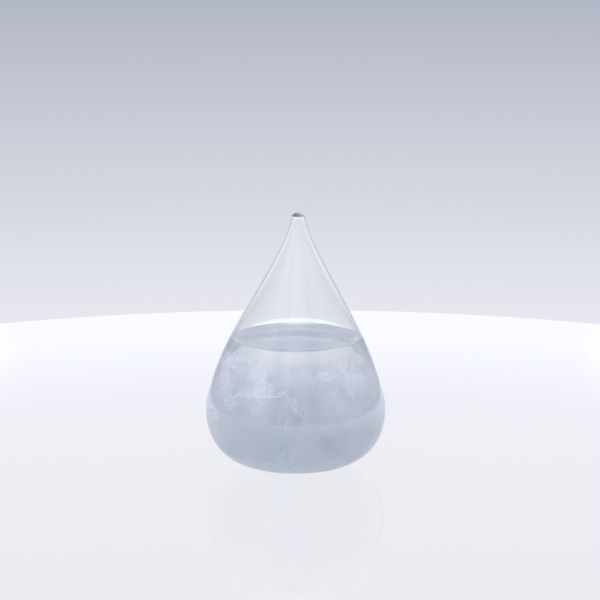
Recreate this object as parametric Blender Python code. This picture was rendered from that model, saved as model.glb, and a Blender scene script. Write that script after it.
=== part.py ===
"""Storm glass: a sealed blown-glass drop holding a clear spirit solution, with a
bed of settled crystals and five crystal plumes that have grown up from it.

Units are metres, +Z is up, the origin is the centre of the flat base.
"""
import math

import bmesh
import bpy
from mathutils import Vector

MM = 0.001

# --- blown glass drop -------------------------------------------------------
BASE_R = 15.0 * MM            # flat that the drop stands on
BASE_HANDLE = 15.8 * MM       # how far the flat runs on into the bulb's curve
BELLY_R = 40.0 * MM           # widest radius
BELLY_Z = 24.9 * MM           # height of the widest ring
BELLY_LOW = 15.0 * MM
BELLY_HIGH = 13.8 * MM
CONE_R = 23.3 * MM            # where the bulb has run out into the cone
CONE_Z = 69.1 * MM
CONE_ANGLE = math.radians(28.4)
CONE_LOW = 3.0 * MM
CONE_HIGH = 30.0 * MM
NECK_R = 3.3 * MM             # cut end of the neck
NECK_Z = 111.3 * MM
NECK_ANGLE = math.radians(10.5)
NECK_HANDLE = 10.5 * MM
WALL_BASE = 2.0 * MM          # height and wall thickness up the drop
WALLS = ((0.0, WALL_BASE), (BELLY_Z, 0.75 * MM), (52.0 * MM, 0.6 * MM),
         (84.0 * MM, 0.9 * MM), (NECK_Z, 0.75 * MM))
GLASS_STEPS = 48

# The drawn-out neck stands a little off the bulb's axis.
LEAN = 1.25 * MM
LEAN_FROM = 33.0 * MM
LEAN_TO = 100.0 * MM

# --- seal melted over the neck ----------------------------------------------
GAP = 0.35 * MM               # clearance between neighbouring solids
BEAD_R = 2.75 * MM
BEAD_H = 1.35 * MM
STEM_R = 1.9 * MM
STEM_L = 0.9 * MM
SEAL_STEPS = 20

# --- solution and crystals --------------------------------------------------
LEVEL_Z = 55.7 * MM           # middle of the liquid's surface
MENISCUS_H = 2.0 * MM         # how far the liquid climbs the wall
MENISCUS_L = 1.3 * MM         # over what distance
BED_RIM_Z = 8.6 * MM          # settled crystals, height at the wall
BED_CROWN = 2.0 * MM          # how much higher they lie inside
LIQUID_STEPS = 40
PLUME_STEPS = 16
PLUME_FOOT_Z = 11.7 * MM
PLUME_LOBES = 0.06

# name, centre x, centre y, greatest radius, top, number of lobes
PLUMES = (
    ("crystal_plume_left", -18.5, -11.0, 12.5, 48.0, 5),
    ("crystal_plume_right", 18.5, -11.0, 12.0, 46.0, 4),
    ("crystal_plume_front", 0.0, -27.0, 7.5, 34.0, 5),
    ("crystal_plume_back", 0.0, 24.0, 11.0, 26.0, 4),
    ("crystal_plume_centre", 0.0, 2.0, 7.0, 36.0, 3),
)


def clear_scene():
    for obj in list(bpy.data.objects):
        bpy.data.objects.remove(obj, do_unlink=True)


def material(name, color, roughness, metallic=0.0, transmission=0.0, ior=1.45):
    mat = bpy.data.materials.new(name)
    mat.use_nodes = True
    shader = mat.node_tree.nodes["Principled BSDF"]
    shader.inputs["Base Color"].default_value = (*color, 1.0)
    shader.inputs["Roughness"].default_value = roughness
    shader.inputs["Metallic"].default_value = metallic
    shader.inputs["Transmission Weight"].default_value = transmission
    shader.inputs["IOR"].default_value = ior
    mat.diffuse_color = (*color, 1.0)
    return mat


def bezier(a, b, c, d, count):
    """count points of a cubic curve in (r, z), both ends included."""
    out = []
    for i in range(count):
        t = i / (count - 1)
        s = 1.0 - t
        out.append(tuple(s ** 3 * a[k] + 3 * s * s * t * b[k]
                         + 3 * s * t * t * c[k] + t ** 3 * d[k] for k in (0, 1)))
    return out


def outer_profile(per_curve=9):
    """The drop's outside from the edge of the flat base up to the neck's rim."""
    low = bezier((BASE_R, 0.0), (BASE_R + BASE_HANDLE, 0.0),
                 (BELLY_R, BELLY_Z - BELLY_LOW), (BELLY_R, BELLY_Z), per_curve)
    sn, cs = math.sin(CONE_ANGLE), math.cos(CONE_ANGLE)
    bulb = bezier((BELLY_R, BELLY_Z), (BELLY_R, BELLY_Z + BELLY_HIGH),
                  (CONE_R + CONE_LOW * sn, CONE_Z - CONE_LOW * cs),
                  (CONE_R, CONE_Z), per_curve)
    sm, cm = math.sin(NECK_ANGLE), math.cos(NECK_ANGLE)
    cone = bezier((CONE_R, CONE_Z), (CONE_R - CONE_HIGH * sn, CONE_Z + CONE_HIGH * cs),
                  (NECK_R + NECK_HANDLE * sm, NECK_Z - NECK_HANDLE * cm),
                  (NECK_R, NECK_Z), per_curve)
    return low + bulb[1:] + cone[1:]


def wall(z):
    """Wall thickness at a height: thick floor, thin shoulder, more again in the cone."""
    for (z0, t0), (z1, t1) in zip(WALLS, WALLS[1:]):
        if z <= z1:
            f = max(0.0, (z - z0) / (z1 - z0))
            return t0 + (t1 - t0) * f * f * (3 - 2 * f)
    return WALLS[-1][1]


def offset(profile, distance):
    """The profile moved inwards, square to itself, by distance(z)."""
    out = []
    last = len(profile) - 1
    for i, (r, z) in enumerate(profile):
        a, b = profile[max(0, i - 1)], profile[min(last, i + 1)]
        if i == 0:
            nr, nz = 0.0, 1.0                     # the base is flat here
        else:
            dr, dz = b[0] - a[0], b[1] - a[1]
            length = math.hypot(dr, dz)
            nr, nz = -dz / length, dr / length
        d = distance(z)
        out.append((r + nr * d, z + nz * d))
    out[-1] = (out[-1][0], profile[-1][1])        # the rim is cut square
    return out


def radius_at(profile, z):
    for (r0, z0), (r1, z1) in zip(profile, profile[1:]):
        if z0 <= z <= z1:
            return r0 + (r1 - r0) * (z - z0) / (z1 - z0)
    return profile[-1][0]


def below(profile, z):
    """The part of a rising profile that lies under a height, cut at it."""
    return [p for p in profile if p[1] < z - 0.4 * MM] + [(radius_at(profile, z), z)]


def lean(z):
    f = (z - LEAN_FROM) / (LEAN_TO - LEAN_FROM)
    f = max(0.0, min(1.0, f))
    return LEAN * f * f * (3 - 2 * f)


def turned(name, profile, steps, mat, shape=None, sharp=40.0):
    """A closed body spun about Z from a profile that starts and ends on the axis,
    then moved point by point with shape(co) and with the neck's lean."""
    bm = bmesh.new()
    verts = [bm.verts.new((r, 0.0, z)) for r, z in profile]
    edges = [bm.edges.new((a, b)) for a, b in zip(verts, verts[1:])]
    bmesh.ops.spin(bm, geom=verts + edges, cent=(0, 0, 0), axis=(0, 0, 1),
                   angle=math.tau, steps=steps, use_merge=True, use_duplicate=False)
    bmesh.ops.remove_doubles(bm, verts=bm.verts, dist=0.001 * MM)
    for v in bm.verts:
        if shape:
            v.co = shape(v.co)
        v.co.x += lean(v.co.z)
    bmesh.ops.triangulate(bm, faces=[f for f in bm.faces if len(f.verts) > 3])
    bmesh.ops.recalc_face_normals(bm, faces=bm.faces)
    if bm.calc_volume(signed=True) < 0:
        bmesh.ops.reverse_faces(bm, faces=bm.faces)
    mesh = bpy.data.meshes.new(name)
    bm.to_mesh(mesh)
    bm.free()
    mesh.materials.append(mat)
    mesh.shade_smooth()
    mesh.set_sharp_from_angle(angle=math.radians(sharp))
    obj = bpy.data.objects.new(name, mesh)
    bpy.context.collection.objects.link(obj)
    return obj


def bed_height(x, y, rim_r):
    """Top of the settled crystals: a low crown with soft mounds, level at the wall."""
    r = math.hypot(x, y)
    inside = max(0.0, 1.0 - (r / rim_r) ** 2)
    mounds = 0.5 + 0.3 * math.cos(220 * x + 0.7) * math.cos(190 * y - 0.4)
    return BED_RIM_Z + BED_CROWN * inside * mounds


def plume_profile(radius, top, grow, foot):
    """A rounded column: narrow foot, full middle, domed top."""
    height = top - PLUME_FOOT_Z
    out = [(0.0, top + grow)]
    count = 9
    for i in range(1, count + 1):
        t = 1.0 - (i / count) ** 1.4
        r = radius * math.sqrt(1.0 - t ** 3.2) * (0.78 + 0.24 * math.sin(math.pi * t))
        z = PLUME_FOOT_Z + height * t
        if i == count:
            z = foot
        out.append((r + grow, z + grow * t))
    out.append((0.0, foot))
    return out


def plume_shape(cx, cy, top, lobes):
    def shape(co):
        r = math.hypot(co.x, co.y)
        t = (co.z - PLUME_FOOT_Z) / (top - PLUME_FOOT_Z)
        turn = math.atan2(co.y, co.x) if r > 1e-9 else 0.0
        f = 1.0 + PLUME_LOBES * math.cos(lobes * turn + 2.2 * max(0.0, t))
        return Vector((co.x * f + cx, co.y * f + cy, co.z))
    return shape


def build():
    clear_scene()
    glass = material("borosilicate_glass", (0.93, 0.95, 0.98), 0.02, 0.0, 1.0, 1.473)
    bead = material("seal_glass", (0.45, 0.47, 0.51), 0.03, 0.0, 1.0, 1.473)
    spirit = material("spirit_solution", (0.80, 0.84, 0.92), 0.0, 0.0, 1.0, 1.36)
    snow = material("settled_crystals", (0.80, 0.83, 0.90), 0.7)

    outside = outer_profile()
    inside = offset(outside, wall)
    clearance = offset(inside, lambda z: GAP)

    # Glass: up the outside, across the cut rim, down the bore and the inside.
    turned("glass_drop", [(0.0, 0.0)] + outside + inside[::-1] + [(0.0, WALL_BASE)],
           GLASS_STEPS, glass)

    # Seal: a domed bead over the rim with a short stem down the bore.
    bead_z = NECK_Z + GAP
    dome = [(BEAD_R * math.sin(a), bead_z + BEAD_H * math.cos(a))
            for a in (math.pi / 2 * i / 7 for i in range(8))]
    turned("tip_seal", dome + [(STEM_R, bead_z), (STEM_R, NECK_Z - STEM_L + 0.5 * MM),
                               (0.5 * STEM_R, NECK_Z - STEM_L), (0.0, NECK_Z - STEM_L)],
           SEAL_STEPS, bead)

    # Settled crystals: the floor's shape below, soft mounds above.
    rim_r = radius_at(clearance, BED_RIM_Z)
    side = below(clearance, BED_RIM_Z)
    rings = [rim_r * f for f in (0.8, 0.6, 0.4, 0.2, 0.0)]

    def on_bed(lift):
        def shape(co):
            r = math.hypot(co.x, co.y)
            if co.z >= BED_RIM_Z + lift - 1e-6 and r < rim_r * 0.9 and co.z < 0.02:
                return Vector((co.x, co.y, bed_height(co.x, co.y, rim_r) + lift))
            return co
        return shape

    turned("crystal_bed",
           [(0.0, WALL_BASE + GAP)] + side + [(r, BED_RIM_Z) for r in rings],
           LIQUID_STEPS, snow, on_bed(0.0))

    # Solution: over the bed, up the wall, and a surface that climbs at the wall.
    floor_z = BED_RIM_Z + GAP
    shore_z = LEVEL_Z + MENISCUS_H
    shore_r = radius_at(clearance, shore_z)
    bank = [p for p in below(clearance, shore_z) if p[1] > floor_z + 0.6 * MM]
    bank = [(radius_at(clearance, floor_z), floor_z)] + bank
    surface = [(shore_r - d, LEVEL_Z + MENISCUS_H * math.exp(-d / MENISCUS_L))
               for d in (0.7 * MM, 1.6 * MM, 3.2 * MM, 7.0 * MM)]
    solution = turned(
        "solution",
        [(r, floor_z) for r in reversed(rings)] + bank + surface + [(0.0, LEVEL_Z)],
        LIQUID_STEPS, spirit, on_bed(GAP))

    # Plumes stand in pockets of the solution that open over the bed.
    for name, cx, cy, radius, top, lobes in PLUMES:
        shape = plume_shape(cx * MM, cy * MM, top * MM, lobes)
        mat = material(name + "_crystals", (0.84, 0.87, 0.93), 0.6)
        turned(name, plume_profile(radius * MM, top * MM, 0.0, PLUME_FOOT_Z),
               PLUME_STEPS, mat, shape)
        pocket = turned(name + "_pocket",
                        plume_profile(radius * MM, top * MM, GAP, BED_RIM_Z - 2 * MM),
                        PLUME_STEPS, mat, shape)
        pocket.hide_render = True
        pocket.display_type = "WIRE"
        cut = solution.modifiers.new(name + "_cut", "BOOLEAN")
        cut.operation = "DIFFERENCE"
        cut.solver = "EXACT"
        cut.object = pocket


build()
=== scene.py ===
"""Looks of the storm glass: blown glass, melted tip, clear solution and feathery crystals."""

import math
import random

import bmesh
import bpy
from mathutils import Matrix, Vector, noise


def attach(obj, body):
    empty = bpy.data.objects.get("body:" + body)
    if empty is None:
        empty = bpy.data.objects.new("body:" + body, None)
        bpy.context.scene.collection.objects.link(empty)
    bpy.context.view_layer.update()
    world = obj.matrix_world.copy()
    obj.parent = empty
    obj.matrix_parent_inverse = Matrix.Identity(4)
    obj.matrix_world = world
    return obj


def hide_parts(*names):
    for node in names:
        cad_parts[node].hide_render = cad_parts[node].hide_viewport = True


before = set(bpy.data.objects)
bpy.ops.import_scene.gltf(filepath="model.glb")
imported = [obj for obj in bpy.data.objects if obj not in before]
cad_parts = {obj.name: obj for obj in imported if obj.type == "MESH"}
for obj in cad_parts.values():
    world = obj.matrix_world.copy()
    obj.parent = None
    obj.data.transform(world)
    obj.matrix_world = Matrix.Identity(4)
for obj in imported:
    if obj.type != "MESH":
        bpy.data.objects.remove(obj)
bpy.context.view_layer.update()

MM = 0.001

# --- the drop's design dimensions, in metres ---------------------------------
BASE_R, BASE_HANDLE = 15.0 * MM, 15.8 * MM
BELLY_R, BELLY_Z, BELLY_LOW, BELLY_HIGH = 40.0 * MM, 24.9 * MM, 15.0 * MM, 13.8 * MM
CONE_R, CONE_Z, CONE_ANGLE = 23.3 * MM, 69.1 * MM, math.radians(28.4)
CONE_LOW, CONE_HIGH = 3.0 * MM, 30.0 * MM
NECK_R, NECK_Z, NECK_ANGLE, NECK_HANDLE = 3.3 * MM, 111.3 * MM, math.radians(10.5), 10.5 * MM
WALL_BASE = 2.0 * MM
WALLS = ((0.0, WALL_BASE), (BELLY_Z, 0.75 * MM), (52.0 * MM, 0.6 * MM), (84.0 * MM, 0.9 * MM), (NECK_Z, 0.75 * MM))
LEAN, LEAN_FROM, LEAN_TO = 1.25 * MM, 33.0 * MM, 100.0 * MM
LEVEL_Z, MENISCUS_H, MENISCUS_L = 55.7 * MM, 2.0 * MM, 1.3 * MM
BED_RIM_Z, BED_CROWN = 8.6 * MM, 2.0 * MM
BEAD_R, BEAD_H = 2.75 * MM, 1.35 * MM

PLUMES = (
    ("crystal_plume_left", -18.5, -11.0, 12.5, 48.0),
    ("crystal_plume_right", 18.5, -11.0, 12.0, 46.0),
    ("crystal_plume_front", 0.0, -27.0, 7.5, 34.0),
    ("crystal_plume_back", 0.0, 24.0, 11.0, 26.0),
    ("crystal_plume_centre", 0.0, 2.0, 7.0, 36.0),
)

# Where feathers have grown against the front wall:
# plume, x, z, spread in x, spread in z, feathers, flakes
WISPS = (
    ("crystal_plume_left", -23.0, 44.0, 6.5, 3.0, 10, 3600),
    ("crystal_plume_left", -15.0, 39.0, 3.2, 2.4, 18, 1700),
    ("crystal_plume_left", -27.0, 34.0, 4.5, 4.5, 8, 2400),
    ("crystal_plume_left", -34.0, 24.0, 2.0, 5.5, 4, 900),
    ("crystal_plume_left", -29.0, 46.0, 2.6, 2.6, 0, 2600),
    ("crystal_plume_right", 14.0, 47.0, 5.5, 2.4, 8, 1500),
    ("crystal_plume_right", 24.0, 41.0, 4.5, 3.5, 8, 1600),
    ("crystal_plume_front", 2.0, 22.0, 9.0, 7.0, 0, 250),
)


# --- profile ------------------------------------------------------------------
def bezier(a, b, c, d, count):
    out = []
    for i in range(count):
        t = i / (count - 1)
        s = 1.0 - t
        out.append(tuple(s ** 3 * a[k] + 3 * s * s * t * b[k]
                         + 3 * s * t * t * c[k] + t ** 3 * d[k] for k in (0, 1)))
    return out


def outer_profile(n):
    low = bezier((BASE_R, 0.0), (BASE_R + BASE_HANDLE, 0.0),
                 (BELLY_R, BELLY_Z - BELLY_LOW), (BELLY_R, BELLY_Z), n)
    sn, cs = math.sin(CONE_ANGLE), math.cos(CONE_ANGLE)
    bulb = bezier((BELLY_R, BELLY_Z), (BELLY_R, BELLY_Z + BELLY_HIGH),
                  (CONE_R + CONE_LOW * sn, CONE_Z - CONE_LOW * cs), (CONE_R, CONE_Z), n)
    sm, cm = math.sin(NECK_ANGLE), math.cos(NECK_ANGLE)
    cone = bezier((CONE_R, CONE_Z), (CONE_R - CONE_HIGH * sn, CONE_Z + CONE_HIGH * cs),
                  (NECK_R + NECK_HANDLE * sm, NECK_Z - NECK_HANDLE * cm), (NECK_R, NECK_Z), n)
    return low + bulb[1:] + cone[1:]


def wall(z):
    for (z0, t0), (z1, t1) in zip(WALLS, WALLS[1:]):
        if z <= z1:
            f = max(0.0, (z - z0) / (z1 - z0))
            return t0 + (t1 - t0) * f * f * (3 - 2 * f)
    return WALLS[-1][1]


def offset(profile, distance):
    out = []
    last = len(profile) - 1
    for i, (r, z) in enumerate(profile):
        if i == 0:
            nr, nz = 0.0, 1.0
        else:
            a, b = profile[i - 1], profile[min(last, i + 1)]
            dr, dz = b[0] - a[0], b[1] - a[1]
            length = math.hypot(dr, dz)
            nr, nz = -dz / length, dr / length
        d = distance(z)
        out.append((r + nr * d, z + nz * d))
    out[-1] = (out[-1][0], profile[-1][1])
    return out


def radius_at(profile, z):
    if z <= profile[0][1]:
        return profile[0][0]
    for (r0, z0), (r1, z1) in zip(profile, profile[1:]):
        if z0 <= z <= z1:
            return r0 + (r1 - r0) * (z - z0) / max(1e-12, z1 - z0)
    return profile[-1][0]


def lean(z):
    f = max(0.0, min(1.0, (z - LEAN_FROM) / (LEAN_TO - LEAN_FROM)))
    return LEAN * f * f * (3 - 2 * f)


OUTSIDE = outer_profile(40)
INSIDE = offset(OUTSIDE, wall)


# --- mesh helpers ---------------------------------------------------------------
def turned(name, profile, steps, shape=None, sharp=50.0):
    """A closed body turned about Z from a profile that starts and ends on the axis."""
    bm = bmesh.new()
    verts = [bm.verts.new((r, 0.0, z)) for r, z in profile]
    edges = [bm.edges.new((a, b)) for a, b in zip(verts, verts[1:])]
    bmesh.ops.spin(bm, geom=verts + edges, cent=(0, 0, 0), axis=(0, 0, 1),
                   angle=math.tau, steps=steps, use_merge=True, use_duplicate=False)
    bmesh.ops.remove_doubles(bm, verts=bm.verts, dist=0.0005 * MM)
    for v in bm.verts:
        if shape:
            v.co = shape(v.co)
        v.co.x += lean(v.co.z)
    bmesh.ops.recalc_face_normals(bm, faces=bm.faces)
    if bm.calc_volume(signed=True) < 0:
        bmesh.ops.reverse_faces(bm, faces=bm.faces)
    return link(name, bm, sharp)


def link(name, bm, sharp=None):
    mesh = bpy.data.meshes.new(name)
    bm.to_mesh(mesh)
    bm.free()
    if sharp is not None:
        mesh.shade_smooth()
        mesh.set_sharp_from_angle(angle=math.radians(sharp))
    obj = bpy.data.objects.new(name, mesh)
    bpy.context.collection.objects.link(obj)
    return obj


class Bits:
    """Gathers many small closed crystals into one mesh."""

    def __init__(self):
        self.verts, self.faces = [], []

    def needle(self, p, d, side, length, width, thick):
        """A slim three-sided pyramid from p along d, flat in the plane of d and side."""
        n = d.cross(side).normalized()
        i = len(self.verts)
        self.verts += [p - side * width, p + side * width, p + n * thick, p + d * length]
        self.faces += [(i, i + 2, i + 1), (i, i + 1, i + 3), (i + 1, i + 2, i + 3), (i + 2, i, i + 3)]

    def blade(self, pts, side, width, thick):
        """A tapering three-sided spine through pts."""
        i = len(self.verts)
        last = len(pts) - 1
        for k, p in enumerate(pts[:-1]):
            d = (pts[k + 1] - p).normalized()
            n = d.cross(side).normalized()
            f = 1.0 - 0.8 * k / last
            self.verts += [p - side * width * f, p + side * width * f, p + n * thick * f]
        self.verts.append(pts[-1])
        self.faces.append((i, i + 2, i + 1))
        for k in range(last - 1):
            a, b = i + 3 * k, i + 3 * k + 3
            for j in range(3):
                j2 = (j + 1) % 3
                self.faces.append((a + j, b + j2, b + j))
                self.faces.append((a + j, a + j2, b + j2))
        a, tip = i + 3 * (last - 1), i + 3 * last
        for j in range(3):
            self.faces.append((a + j, a + (j + 1) % 3, tip))

    def flake(self, p, a, b, ra, rb, thick):
        """A thin diamond plate."""
        n = a.cross(b).normalized()
        i = len(self.verts)
        self.verts += [p + a * ra, p + b * rb, p - a * ra, p - b * rb, p + n * thick, p - n * thick]
        for j in range(4):
            j2 = (j + 1) % 4
            self.faces.append((i + j, i + j2, i + 4))
            self.faces.append((i + j2, i + j, i + 5))

    def mesh(self, name):
        me = bpy.data.meshes.new(name)
        me.from_pydata([tuple(v) for v in self.verts], [], self.faces)
        me.update()
        obj = bpy.data.objects.new(name, me)
        bpy.context.collection.objects.link(obj)
        return obj


# --- node helpers ---------------------------------------------------------------
def new_material(name):
    mat = bpy.data.materials.new(name)
    mat.use_nodes = True
    tree = mat.node_tree
    tree.nodes.clear()
    return mat, tree, tree.nodes.new("ShaderNodeOutputMaterial")


def noise_node(tree, scale, detail=4.0, rough=0.55, coords="Object"):
    co = tree.nodes.new("ShaderNodeTexCoord")
    n = tree.nodes.new("ShaderNodeTexNoise")
    n.inputs["Scale"].default_value = scale
    n.inputs["Detail"].default_value = detail
    n.inputs["Roughness"].default_value = rough
    tree.links.new(co.outputs[coords], n.inputs["Vector"])
    return n


def math_node(tree, operation, *values):
    node = tree.nodes.new("ShaderNodeMath")
    node.operation = operation
    for socket, value in zip(node.inputs, values):
        if isinstance(value, (int, float)):
            socket.default_value = value
        else:
            tree.links.new(value, socket)
    return node.outputs[0]


def ramp(tree, source, stops, mode="LINEAR"):
    r = tree.nodes.new("ShaderNodeValToRGB")
    r.color_ramp.interpolation = mode
    els = r.color_ramp.elements
    while len(els) > 1:
        els.remove(els[-1])
    els[0].position, els[0].color = stops[0][0], (*stops[0][1], 1.0)
    for pos, col in stops[1:]:
        els.new(pos).color = (*col, 1.0)
    tree.links.new(source, r.inputs["Fac"])
    return r


def srgb(r, g, b):
    return tuple((c / 255 / 12.92) if c <= 10 else ((c / 255 + 0.055) / 1.055) ** 2.4 for c in (r, g, b))


def glass_material(name, color, ior, bump_mm, bump_scale):
    mat, tree, out = new_material(name)
    sh = tree.nodes.new("ShaderNodeBsdfPrincipled")
    sh.inputs["Base Color"].default_value = (*color, 1.0)
    sh.inputs["Roughness"].default_value = 0.0
    sh.inputs["IOR"].default_value = ior
    sh.inputs["Transmission Weight"].default_value = 1.0
    if bump_mm:
        n = noise_node(tree, bump_scale, 1.0)
        b = tree.nodes.new("ShaderNodeBump")
        b.inputs["Strength"].default_value = 1.0
        b.inputs["Distance"].default_value = bump_mm * MM
        tree.links.new(n.outputs["Fac"], b.inputs["Height"])
        tree.links.new(b.outputs["Normal"], sh.inputs["Normal"])
    tree.links.new(sh.outputs[0], out.inputs["Surface"])
    return mat, tree, out


def crystal_material(name, dark, light, through):
    """White, matt crystals that let light through: part scattered back, part onwards."""
    mat, tree, out = new_material(name)
    n = noise_node(tree, 180.0, 5.0)
    col = ramp(tree, n.outputs["Fac"], [(0.3, dark), (0.7, light)])
    sh = tree.nodes.new("ShaderNodeBsdfPrincipled")
    sh.inputs["Roughness"].default_value = 0.45
    sh.inputs["IOR"].default_value = 1.15
    tree.links.new(col.outputs["Color"], sh.inputs["Base Color"])
    tr = tree.nodes.new("ShaderNodeBsdfTranslucent")
    tree.links.new(col.outputs["Color"], tr.inputs["Color"])
    mix = tree.nodes.new("ShaderNodeMixShader")
    mix.inputs["Fac"].default_value = through
    tree.links.new(sh.outputs[0], mix.inputs[1])
    tree.links.new(tr.outputs[0], mix.inputs[2])
    tree.links.new(mix.outputs[0], out.inputs["Surface"])
    return mat


# --- camera -----------------------------------------------------------------------
def make_camera():
    cam = bpy.data.cameras.new("camera")
    cam.sensor_width = 36.0
    cam.lens = 150.9
    cam.clip_start, cam.clip_end = 0.01, 50.0
    obj = bpy.data.objects.new("camera", cam)
    obj.location = (0.00196, -1.0824, 0.3006)
    obj.rotation_euler = (math.radians(90.0 - 11.834), 0.0, 0.0)
    bpy.context.collection.objects.link(obj)
    bpy.context.scene.camera = obj


# --- stage ------------------------------------------------------------------------
TABLE_R, TABLE_Y = 0.397, -0.069
OVERHEAD, FRONT, FRONT_LEFT = 1.4, 1.15, 1.8


def make_stage():
    bm = bmesh.new()
    prof = [(0.0, 0.0), (0.2, 0.0), (TABLE_R - 0.004, 0.0), (TABLE_R - 0.001, -0.001),
            (TABLE_R, -0.004), (TABLE_R, -0.02), (0.0, -0.02)]
    verts = [bm.verts.new((r, 0.0, z)) for r, z in prof]
    edges = [bm.edges.new((a, b)) for a, b in zip(verts, verts[1:])]
    bmesh.ops.spin(bm, geom=verts + edges, cent=(0, 0, 0), axis=(0, 0, 1),
                   angle=math.tau, steps=160, use_merge=True, use_duplicate=False)
    bmesh.ops.remove_doubles(bm, verts=bm.verts, dist=1e-6)
    bmesh.ops.recalc_face_normals(bm, faces=bm.faces)
    floor = link("table_top", bm, 40.0)
    floor.location = (0.0, TABLE_Y, 0.0)
    mat, tree, out = new_material("pale_table")
    sh = tree.nodes.new("ShaderNodeBsdfPrincipled")       # one plain pale tone all over, softly lit from within
    sh.inputs["Base Color"].default_value = (0.02, 0.02, 0.02, 1.0)
    sh.inputs["Roughness"].default_value = 0.04
    sh.inputs["IOR"].default_value = 1.45
    sh.inputs["Emission Strength"].default_value = 1.0
    sh.inputs["Emission Color"].default_value = (0.70, 0.70, 0.73, 1.0)
    tree.links.new(sh.outputs[0], out.inputs["Surface"])
    floor.data.materials.append(mat)

    world = bpy.data.worlds.new("studio")
    bpy.context.scene.world = world
    world.use_nodes = True
    tree = world.node_tree
    tree.nodes.clear()
    out = tree.nodes.new("ShaderNodeOutputWorld")
    bg = tree.nodes.new("ShaderNodeBackground")
    co = tree.nodes.new("ShaderNodeTexCoord")
    sep = tree.nodes.new("ShaderNodeSeparateXYZ")
    tree.links.new(co.outputs["Generated"], sep.inputs[0])
    mr = tree.nodes.new("ShaderNodeMapRange")
    mr.inputs["From Min"].default_value = -0.25
    mr.inputs["From Max"].default_value = 1.0
    tree.links.new(sep.outputs["Z"], mr.inputs["Value"])

    def at(s):
        return (s + 0.25) / 1.25
    col = ramp(tree, mr.outputs[0], [                      # soft backdrop, light low down and overhead
        (at(-0.25), srgb(245, 245, 250)), (at(-0.08), srgb(175, 180, 195)),
        (at(0.8), srgb(240, 240, 255))])
    wide = math_node(tree, "ABSOLUTE", sep.outputs["X"])   # soft light from both sides
    flank = tree.nodes.new("ShaderNodeMapRange")
    flank.interpolation_type = "SMOOTHSTEP"
    flank.inputs["From Min"].default_value = 0.12
    flank.inputs["From Max"].default_value = 0.15
    tree.links.new(wide, flank.inputs["Value"])
    high = ramp(tree, wide, [(0.14, srgb(240, 240, 250)), (0.42, srgb(185, 190, 205)),
                             (0.72, srgb(245, 245, 255))])
    low = ramp(tree, wide, [(0.14, srgb(240, 240, 250)), (0.42, srgb(185, 190, 205)),
                            (1.00, srgb(210, 210, 225))])
    rise = tree.nodes.new("ShaderNodeMapRange")            # the side lights stand above the table
    rise.interpolation_type = "SMOOTHSTEP"
    rise.inputs["From Min"].default_value = -0.05
    rise.inputs["From Max"].default_value = 0.2
    tree.links.new(sep.outputs["Z"], rise.inputs["Value"])
    both = tree.nodes.new("ShaderNodeMixRGB")
    tree.links.new(rise.outputs[0], both.inputs["Fac"])
    tree.links.new(low.outputs["Color"], both.inputs["Color1"])
    tree.links.new(high.outputs["Color"], both.inputs["Color2"])
    mix = tree.nodes.new("ShaderNodeMixRGB")
    tree.links.new(both.outputs["Color"], mix.inputs["Color2"])
    tree.links.new(flank.outputs[0], mix.inputs["Fac"])
    tree.links.new(col.outputs["Color"], mix.inputs["Color1"])
    tree.links.new(mix.outputs["Color"], bg.inputs["Color"])
    soft = tree.nodes.new("ShaderNodeMapRange")           # broad soft light overhead
    soft.interpolation_type = "SMOOTHSTEP"
    soft.inputs["From Min"].default_value = 0.32
    soft.inputs["From Max"].default_value = 0.75
    soft.inputs["To Min"].default_value = 1.0
    soft.inputs["To Max"].default_value = OVERHEAD
    tree.links.new(sep.outputs["Z"], soft.inputs["Value"])
    fill = tree.nodes.new("ShaderNodeMapRange")           # and a broad soft fill from the front
    fill.interpolation_type = "SMOOTHSTEP"
    fill.inputs["From Min"].default_value = -0.1
    fill.inputs["From Max"].default_value = -0.7
    fill.inputs["To Min"].default_value = 1.0
    side = tree.nodes.new("ShaderNodeMapRange")           # more of it from the left
    side.interpolation_type = "SMOOTHSTEP"
    side.inputs["From Min"].default_value = -0.6
    side.inputs["From Max"].default_value = 0.2
    side.inputs["To Min"].default_value = FRONT_LEFT
    side.inputs["To Max"].default_value = FRONT
    tree.links.new(sep.outputs["X"], side.inputs["Value"])
    tree.links.new(side.outputs[0], fill.inputs["To Max"])
    tree.links.new(sep.outputs["Y"], fill.inputs["Value"])
    tree.links.new(math_node(tree, "MULTIPLY", soft.outputs[0], fill.outputs[0]), bg.inputs["Strength"])
    tree.links.new(bg.outputs[0], out.inputs["Surface"])


# --- glass ------------------------------------------------------------------------
def make_glass():
    def blown(co):
        """Hand-blown unevenness: the skin lies up to a tenth of a millimetre inside its form."""
        r = math.hypot(co.x, co.y)
        if r < 1e-6 or co.z < 1.5 * MM:
            return co
        p = Vector((co.x, co.y, co.z * 0.8)) * 38.0
        k = noise.noise(p) * 0.5 + 0.5
        d = 0.10 * MM * k * min(1.0, (co.z - 1.5 * MM) / (10 * MM)) * min(1.0, r / (20 * MM))
        f = 1.0 - d / r
        return Vector((co.x * f, co.y * f, co.z))
    rim = [(NECK_R - 0.25 * MM, NECK_Z)]
    outside = OUTSIDE[:-1] + [(NECK_R, NECK_Z - 0.25 * MM)] + rim
    inside = INSIDE[::-1]
    obj = turned("blown_glass_drop", [(0.0, 0.0), (BASE_R * 0.6, 0.0)] + outside + inside
                 + [(BASE_R * 0.6, WALL_BASE), (0.0, WALL_BASE)], 144, blown)
    mat, _, _ = glass_material("blown_glass", (0.998, 0.999, 1.0), 1.473, 0.01, 60.0)
    obj.data.materials.append(mat)
    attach(obj, "root")
    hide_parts("glass_drop")


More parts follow.
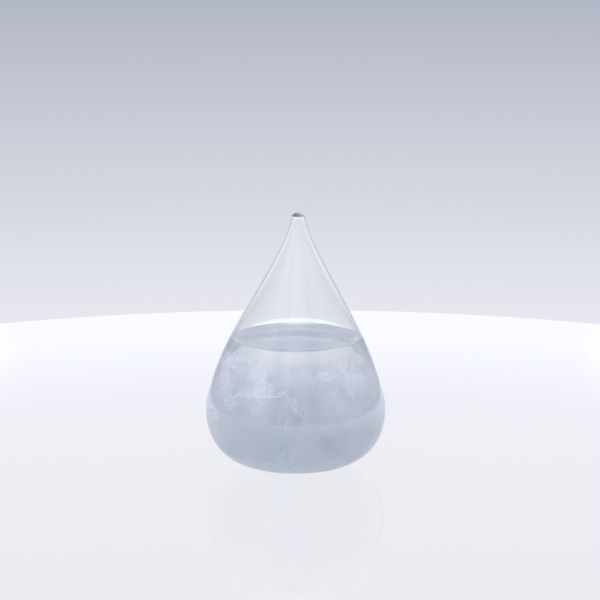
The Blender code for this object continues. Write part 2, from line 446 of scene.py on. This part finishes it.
def make_seal():
    z0 = NECK_Z + 0.02 * MM
    dome = [(BEAD_R * math.sin(a), z0 + 0.25 * MM + (BEAD_H - 0.12 * MM) * math.cos(a) ** 1.8)
            for a in (math.pi / 2 * i / 14 for i in range(15))]
    stem_r = INSIDE[-1][0] - 0.02 * MM

    def slumped(co):
        """The bead cooled a little to one side."""
        return Vector((co.x - 0.3 * max(0.0, co.z - z0), co.y, co.z))
    obj = turned("melted_tip", dome + [(BEAD_R - 0.12 * MM, z0), (stem_r, z0), (stem_r * 0.9, NECK_Z - 0.25 * MM),
                                       (stem_r * 0.5, NECK_Z - 0.4 * MM), (0.0, NECK_Z - 0.45 * MM)], 64, slumped)
    mat, tree, _ = glass_material("seal_glass", (0.3, 0.31, 0.33), 1.473, 0.01, 300.0)
    co = tree.nodes.new("ShaderNodeTexCoord")              # tint darker towards the left of the bead, lighter towards the right
    sep = tree.nodes.new("ShaderNodeSeparateXYZ")
    tree.links.new(co.outputs["Object"], sep.inputs[0])
    across = tree.nodes.new("ShaderNodeMapRange")
    across.inputs["From Min"].default_value = LEAN - 2.0 * MM
    across.inputs["From Max"].default_value = LEAN + 2.5 * MM
    tree.links.new(sep.outputs["X"], across.inputs["Value"])
    side_tone = ramp(tree, across.outputs[0], [(0.35, (0.24, 0.25, 0.27)), (0.75, (0.8, 0.81, 0.84))])
    shader = next(n for n in tree.nodes if n.type == "BSDF_PRINCIPLED")
    tree.links.new(side_tone.outputs["Color"], shader.inputs["Base Color"])
    obj.data.materials.append(mat)
    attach(obj, "root")
    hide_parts("tip_seal")


# --- solution ---------------------------------------------------------------------
HAZE_TOP, HAZE_FULL, HAZE_DENSITY = 53.0 * MM, 46.0 * MM, 24.0
HAZE_SLOPE, HAZE_FALL = 0.45, 16.5 * MM  # the drift lies higher in front
HAZE_LOSS = 4.2                          # light that it takes
TINT_TOP, TINT_LOW, TINT_BASE, TINT_DENSITY = 46.0 * MM, 4.0 * MM, 3.5, 25.0


def make_solution():
    inner = offset(INSIDE, lambda z: -0.15 * MM)
    shore_z = LEVEL_Z + MENISCUS_H
    side = [p for p in inner if p[1] < shore_z - 0.3 * MM] + [(radius_at(inner, shore_z), shore_z)]
    shore_r = radius_at(INSIDE, shore_z)
    surface = [(shore_r - d * MM, LEVEL_Z + MENISCUS_H * math.exp(-d * MM / MENISCUS_L))
               for d in (0.05, 0.2, 0.4, 0.7, 1.1, 1.6, 2.2, 3.0, 4.0, 5.5, 8.0, 12.0)]
    obj = turned("spirit_solution", [(0.0, WALL_BASE - 0.15 * MM)] + side + surface
                 + [(8 * MM, LEVEL_Z), (0.0, LEVEL_Z)], 144)
    mat, tree, out = glass_material("spirit_solution", (1.0, 1.0, 1.0), 1.363, 0.0, 1.0)
    # Crystals too fine to see one by one cloud the lower part; the top layer stays clear.
    co = tree.nodes.new("ShaderNodeTexCoord")
    sep = tree.nodes.new("ShaderNodeSeparateXYZ")
    tree.links.new(co.outputs["Object"], sep.inputs[0])
    wisp = noise_node(tree, 55.0, 3.0, 0.6)
    lift = math_node(tree, "MULTIPLY_ADD", wisp.outputs["Fac"], 0.014, -0.007)
    # The drift leans on the front wall: its top falls away with the depth behind that wall.
    square = math_node(tree, "MULTIPLY", sep.outputs["X"], sep.outputs["X"])
    chord = math_node(tree, "SUBTRACT", (30 * MM) ** 2, square)
    front = math_node(tree, "SQRT", math_node(tree, "MAXIMUM", chord, 0.0))
    depth = math_node(tree, "ADD", sep.outputs["Y"], front)
    fall = math_node(tree, "MULTIPLY", math_node(tree, "MAXIMUM", depth, 0.0), HAZE_SLOPE)
    fall = math_node(tree, "MINIMUM", fall, HAZE_FALL)
    flanks = math_node(tree, "MULTIPLY_ADD", square, -5.5, fall)
    tilt = math_node(tree, "MULTIPLY_ADD", sep.outputs["X"], -0.06, flanks)
    height = math_node(tree, "ADD", math_node(tree, "ADD", sep.outputs["Z"], lift), tilt)
    fade = tree.nodes.new("ShaderNodeMapRange")
    fade.interpolation_type = "SMOOTHSTEP"
    fade.inputs["From Min"].default_value = HAZE_TOP
    fade.inputs["From Max"].default_value = HAZE_FULL
    fade.inputs["To Max"].default_value = HAZE_DENSITY
    tree.links.new(height, fade.inputs["Value"])
    sc = tree.nodes.new("ShaderNodeVolumeScatter")
    sc.inputs["Color"].default_value = (1.0, 0.99, 1.0, 1.0)
    sc.inputs["Anisotropy"].default_value = 0.35
    billow = noise_node(tree, 75.0, 5.0, 0.62)
    clump = tree.nodes.new("ShaderNodeMapRange")
    clump.inputs["From Min"].default_value = 0.42
    clump.inputs["From Max"].default_value = 0.64
    clump.inputs["To Min"].default_value = 0.1
    clump.inputs["To Max"].default_value = 4.0
    tree.links.new(billow.outputs["Fac"], clump.inputs["Value"])
    thick = tree.nodes.new("ShaderNodeMapRange")          # packed closer lower down
    thick.interpolation_type = "SMOOTHSTEP"
    thick.inputs["From Min"].default_value = 38.0 * MM
    thick.inputs["From Max"].default_value = 20.0 * MM
    thick.inputs["To Min"].default_value = 1.0
    thick.inputs["To Max"].default_value = 1.8
    tree.links.new(sep.outputs["Z"], thick.inputs["Value"])
    cloud = math_node(tree, "MULTIPLY", math_node(tree, "MULTIPLY", fade.outputs[0], clump.outputs[0]), thick.outputs[0])
    rim = tree.nodes.new("ShaderNodeMapRange")            # and against the wall at both sides
    rim.inputs["From Min"].default_value = (25.0 * MM) ** 2
    rim.inputs["From Max"].default_value = (36.0 * MM) ** 2
    rim.inputs["To Min"].default_value = 1.0
    rim.inputs["To Max"].default_value = 3.0
    tree.links.new(square, rim.inputs["Value"])
    cloud = math_node(tree, "MULTIPLY", cloud, rim.outputs[0])
    tree.links.new(cloud, sc.inputs["Density"])
    loss = tree.nodes.new("ShaderNodeVolumeAbsorption")
    loss.inputs["Color"].default_value = (0.14, 0.0, 0.05, 1.0)
    veil = noise_node(tree, 62.0, 4.0, 0.6)
    shade = tree.nodes.new("ShaderNodeMapRange")
    shade.inputs["From Min"].default_value = 0.4
    shade.inputs["From Max"].default_value = 0.62
    shade.inputs["To Max"].default_value = 2.0 * HAZE_LOSS / HAZE_DENSITY
    tree.links.new(veil.outputs["Fac"], shade.inputs["Value"])
    tree.links.new(math_node(tree, "MULTIPLY", fade.outputs[0], shade.outputs[0]), loss.inputs["Density"])
    deep = tree.nodes.new("ShaderNodeMapRange")           # cooler and deeper towards the floor
    deep.inputs["From Min"].default_value = TINT_TOP
    deep.inputs["From Max"].default_value = TINT_LOW
    deep.inputs["To Min"].default_value = TINT_BASE
    deep.inputs["To Max"].default_value = TINT_DENSITY
    tree.links.new(sep.outputs["Z"], deep.inputs["Value"])
    ab = tree.nodes.new("ShaderNodeVolumeAbsorption")
    ab.inputs["Color"].default_value = (0.50, 0.64, 0.73, 1.0)
    tree.links.new(deep.outputs[0], ab.inputs["Density"])
    both = tree.nodes.new("ShaderNodeAddShader")
    tree.links.new(sc.outputs[0], both.inputs[0])
    tree.links.new(ab.outputs[0], both.inputs[1])
    whole = tree.nodes.new("ShaderNodeAddShader")
    tree.links.new(both.outputs[0], whole.inputs[0])
    tree.links.new(loss.outputs[0], whole.inputs[1])
    tree.links.new(whole.outputs[0], out.inputs["Volume"])
    mat.cycles.volume_step_rate = 0.3
    obj.data.materials.append(mat)
    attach(obj, "root")
    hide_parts("solution")


# --- crystals ---------------------------------------------------------------------
def inside_liquid(p, margin):
    if p.z < 3.0 * MM or p.z > LEVEL_Z - 2.0 * MM:
        return False
    return math.hypot(p.x - lean(p.z), p.y) < radius_at(INSIDE, p.z) - margin


def unit(rng):
    while True:
        v = Vector((rng.uniform(-1, 1), rng.uniform(-1, 1), rng.uniform(-1, 1)))
        if 0.05 < v.length < 1.0:
            return v.normalized()


def frond(bits, rng, root, d, length, spread, width):
    """One feather of crystal: a bent spine with barbs on both sides, longest in the middle."""
    side = d.cross(unit(rng)).normalized()
    bend = unit(rng) * rng.uniform(0.05, 0.22)
    count = max(4, int(length / (0.55 * MM)))

    def point(t):
        return root + (d * t + bend * t * t) * length
    spine = [point(k / 6) for k in range(7)]
    if not all(inside_liquid(p, 0.7 * MM) for p in spine):
        return False
    bits.blade(spine, side, width, width * 0.8)
    for k in range(1, count):
        t = k / count
        along = (d + bend * 2 * t).normalized()
        reach = spread * math.sin(math.pi * min(1.0, 0.12 + t * 0.9)) ** 0.8
        for sign in (-1, 1):
            lift = along.cross(side) * rng.uniform(-0.25, 0.25)
            out = (along * 0.75 + side * sign + lift).normalized()
            size = reach * rng.uniform(0.7, 1.1)
            p = point(t)
            if inside_liquid(p + out * size, 0.5 * MM):
                bits.needle(p, out, along, size, width * 0.95, width * 0.6)
    return True


def by_wall(x, z, depth):
    """A point that lies a depth behind the front wall, in metres."""
    r = radius_at(INSIDE, z) - depth
    across = x - lean(z)
    return Vector((x, -math.sqrt(max(0.0, r * r - across * across)), z))


def wisp(bits, rng, x, z, spread_x, spread_z, feathers, flakes):
    """Feathers and flakes that lie along the front wall around one place."""
    for _ in range(feathers):
        px, pz = rng.gauss(x, spread_x) * MM, rng.gauss(z, spread_z) * MM
        depth = rng.uniform(0.9, 2.6) * MM
        turn = rng.gauss(0.75, 0.45)
        a = by_wall(px, pz, depth)
        b = by_wall(px + 4 * MM * math.cos(turn), pz + 4 * MM * math.sin(turn), depth + rng.uniform(0.0, 1.0) * MM)
        frond(bits, rng, a, (b - a).normalized(), rng.uniform(3.5, 8.0) * MM,
              rng.uniform(0.8, 1.8) * MM, rng.uniform(0.08, 0.17) * MM)
    made = tries = 0
    while made < flakes and tries < flakes * 8:
        tries += 1
        p = by_wall(rng.gauss(x, spread_x) * MM, rng.gauss(z, spread_z) * MM, rng.uniform(0.9, 5.0) * MM)
        drift = noise.fractal(p * 150.0 + Vector((7.0, 3.0, 0.0)), 0.9, 2.0, 4)
        if inside_liquid(p, 0.7 * MM) and drift > rng.uniform(-0.15, 0.5):
            u = unit(rng)
            v = u.cross(unit(rng)).normalized()
            s = rng.uniform(0.12, 0.34) * MM
            bits.flake(p, u, v, s, s * rng.uniform(0.45, 0.9), s * 0.12)
            made += 1


def plume_radius(radius, top, z):
    t = max(0.0, min(1.0, (z - 11.7 * MM) / (top - 11.7 * MM)))
    return radius * math.sqrt(max(0.0, 1.0 - t ** 3.2)) * (0.78 + 0.24 * math.sin(math.pi * t))


FRONDS, FLAKES, BED_BITS = 110, 2000, 9000


def make_plumes():
    mat = crystal_material("feather_crystals", (0.975, 0.985, 0.995), (0.99, 0.995, 1.0), 0.3)
    for index, (name, cx, cy, radius, top) in enumerate(PLUMES):
        rng = random.Random(4100 + index)
        cx, cy, radius, top = cx * MM, cy * MM, radius * MM, top * MM
        bits = Bits()
        made = tries = 0
        share = FRONDS if radius > 8 * MM else FRONDS // 4
        flakes = FLAKES if radius > 8 * MM else FLAKES // 3
        while made < share and tries < share * 8:
            tries += 1
            z = rng.uniform(11.0 * MM, top)
            a, f = rng.uniform(0, math.tau), math.sqrt(rng.random())
            r = plume_radius(radius, top, z) * 1.2 * f
            p = Vector((cx + r * math.cos(a), cy + r * math.sin(a), z))
            d = (Vector((math.cos(a) * f, math.sin(a) * f, rng.uniform(0.5, 1.4))) + unit(rng) * 0.35).normalized()
            length = rng.uniform(5.0, 12.0) * MM
            made += frond(bits, rng, p - d * length * 0.6, d, length, rng.uniform(1.0, 2.2) * MM,
                          rng.uniform(0.05, 0.09) * MM)
        made = tries = 0
        while made < flakes and tries < flakes * 6:
            tries += 1
            z = rng.uniform(8.0 * MM, top + 1.5 * MM)
            a, f = rng.uniform(0, math.tau), math.sqrt(rng.random())
            r = max(plume_radius(radius, top, z), radius * 0.35) * 1.35 * f
            p = Vector((cx + r * math.cos(a), cy + r * math.sin(a), z))
            if not inside_liquid(p, 0.8 * MM):
                continue
            if noise.noise(p * 130.0) * 0.5 + 0.5 < rng.uniform(0.25, 0.75):
                continue
            u = unit(rng)
            v = u.cross(unit(rng)).normalized()
            s = rng.uniform(0.14, 0.42) * MM
            bits.flake(p, u, v, s, s * rng.uniform(0.45, 0.9), s * 0.12)
            made += 1
        for place in WISPS:
            if place[0] == name:
                wisp(bits, rng, *place[1:])
        obj = bits.mesh(name + "_feathers")
        obj.data.materials.append(mat)
        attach(obj, "root")
        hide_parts(name)


def make_bed():
    """A loose drift of plates and short needles on the floor of the drop."""
    rng = random.Random(77)
    bits = Bits()
    wall_in = offset(INSIDE, lambda z: 0.5 * MM)
    made = 0
    while made < BED_BITS:
        r, a = 36 * MM * math.sqrt(rng.random()), rng.uniform(0, math.tau)
        x, y = r * math.cos(a), r * math.sin(a)
        crown = BED_RIM_Z + BED_CROWN * max(0.0, 1 - (r / (36 * MM)) ** 2)
        crown += noise.noise(Vector((x, y, 0.0)) * 110.0) * 1.6 * MM
        low = WALL_BASE + 0.5 * MM
        z = low + (crown - low) * rng.random()
        if z < low or r > radius_at(wall_in, z):
            continue
        p = Vector((x, y, z))
        u = unit(rng)
        u.z *= 0.6
        u.normalize()
        v = u.cross(unit(rng)).normalized()
        if made % 3:
            s = rng.uniform(0.18, 0.5) * MM
            bits.flake(p, u, v, s, s * rng.uniform(0.4, 0.9), s * 0.14)
        else:
            size = rng.uniform(0.8, 2.0) * MM
            tip = p + u * size
            if math.hypot(tip.x, tip.y) > radius_at(wall_in, tip.z) or tip.z < low:
                continue
            bits.needle(p, u, v, size, 0.09 * MM, 0.07 * MM)
        made += 1
    obj = bits.mesh("settled_crystal_bed")
    mat = crystal_material("settled_crystals", (0.96, 0.975, 0.99), (0.985, 0.99, 1.0), 0.5)
    obj.data.materials.append(mat)
    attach(obj, "root")
    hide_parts("crystal_bed")


def settings():
    scene = bpy.context.scene
    scene.view_settings.view_transform = "Standard"
    scene.cycles.max_bounces = 160
    scene.cycles.transmission_bounces = 160
    scene.cycles.glossy_bounces = 96
    scene.cycles.diffuse_bounces = 64
    scene.cycles.volume_bounces = 64
    scene.cycles.blur_glossy = 0.0
    scene.cycles.transparent_max_bounces = 32


make_camera()
make_stage()
make_glass()
make_seal()
make_solution()
make_bed()
make_plumes()
settings()
